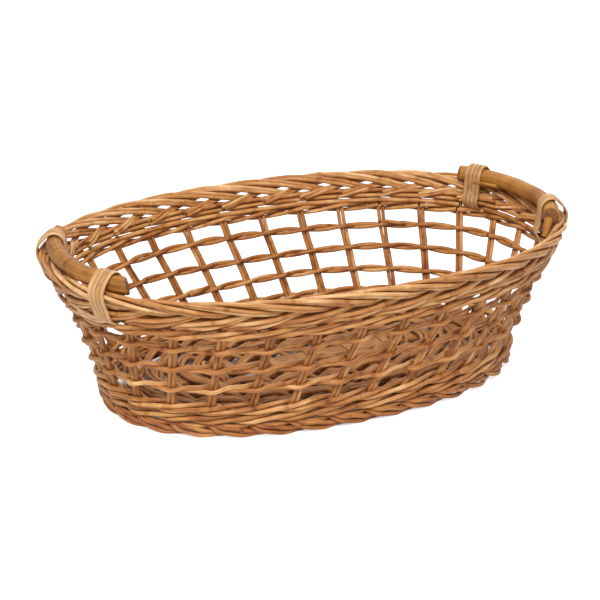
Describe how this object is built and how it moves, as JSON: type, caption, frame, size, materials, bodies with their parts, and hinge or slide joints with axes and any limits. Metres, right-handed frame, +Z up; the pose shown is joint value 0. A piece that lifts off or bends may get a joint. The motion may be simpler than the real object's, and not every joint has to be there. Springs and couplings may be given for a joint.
{
  "type": "woven oval basket",
  "caption": "Oval open-weave berry basket of paired willow rods, with a woven border and foot and a cane handle lashed over each end.",
  "frame": {"origin": "middle of the footprint, on the plane the basket rests on", "axes": "+X along the basket's length towards one handle, +Y across it, +Z up"},
  "size_m": [0.3766, 0.2614, 0.1194],
  "materials": {
    "stake_rods": "dry satin",
    "weaving_rods": "dry satin",
    "handle_cane": "satin",
    "binding_cane": "satin",
    "base_sticks": "dry"
  },
  "bodies": {
    "root": {"stake_pair_01": "stake_rods", "stake_pair_02": "stake_rods", "stake_pair_03": "stake_rods", "stake_pair_04": "stake_rods", "stake_pair_05": "stake_rods", "stake_pair_06": "stake_rods", "stake_pair_07": "stake_rods", "stake_pair_08": "stake_rods", "stake_pair_09": "stake_rods", "stake_pair_10": "stake_rods", "stake_pair_11": "stake_rods", "stake_pair_12": "stake_rods", "stake_pair_13": "stake_rods", "stake_pair_14": "stake_rods", "stake_pair_15": "stake_rods", "stake_pair_16": "stake_rods", "stake_pair_17": "stake_rods", "stake_pair_18": "stake_rods", "stake_pair_19": "stake_rods", "stake_pair_20": "stake_rods", "stake_pair_21": "stake_rods", "stake_pair_22": "stake_rods", "stake_pair_23": "stake_rods", "stake_pair_24": "stake_rods", "stake_pair_25": "stake_rods", "stake_pair_26": "stake_rods", "stake_pair_27": "stake_rods", "stake_pair_28": "stake_rods", "stake_pair_29": "stake_rods", "stake_pair_30": "stake_rods", "pairing_bottom_a": "weaving_rods", "pairing_bottom_b": "weaving_rods", "pairing_middle_a": "weaving_rods", "pairing_middle_b": "weaving_rods", "pairing_top_a": "weaving_rods", "pairing_top_b": "weaving_rods", "waling_lower_1": "weaving_rods", "waling_lower_2": "weaving_rods", "waling_lower_3": "weaving_rods", "waling_upper_1": "weaving_rods", "waling_upper_2": "weaving_rods", "waling_upper_3": "weaving_rods", "handle_right": "handle_cane", "handle_left": "handle_cane", "binding_right_back": "binding_cane", "binding_right_front": "binding_cane", "binding_left_back": "binding_cane", "binding_left_front": "binding_cane", "base_cross_stick_1": "base_sticks", "base_cross_stick_2": "base_sticks", "base_cross_stick_3": "base_sticks", "base_cross_stick_4": "base_sticks", "base_cross_stick_5": "base_sticks", "base_cross_stick_6": "base_sticks", "base_cross_stick_7": "base_sticks", "base_long_stick_1": "base_sticks", "base_long_stick_2": "base_sticks", "base_long_stick_3": "base_sticks", "base_weave_top": "weaving_rods", "base_weave_underside": "weaving_rods"}
  },
  "joints": []
}
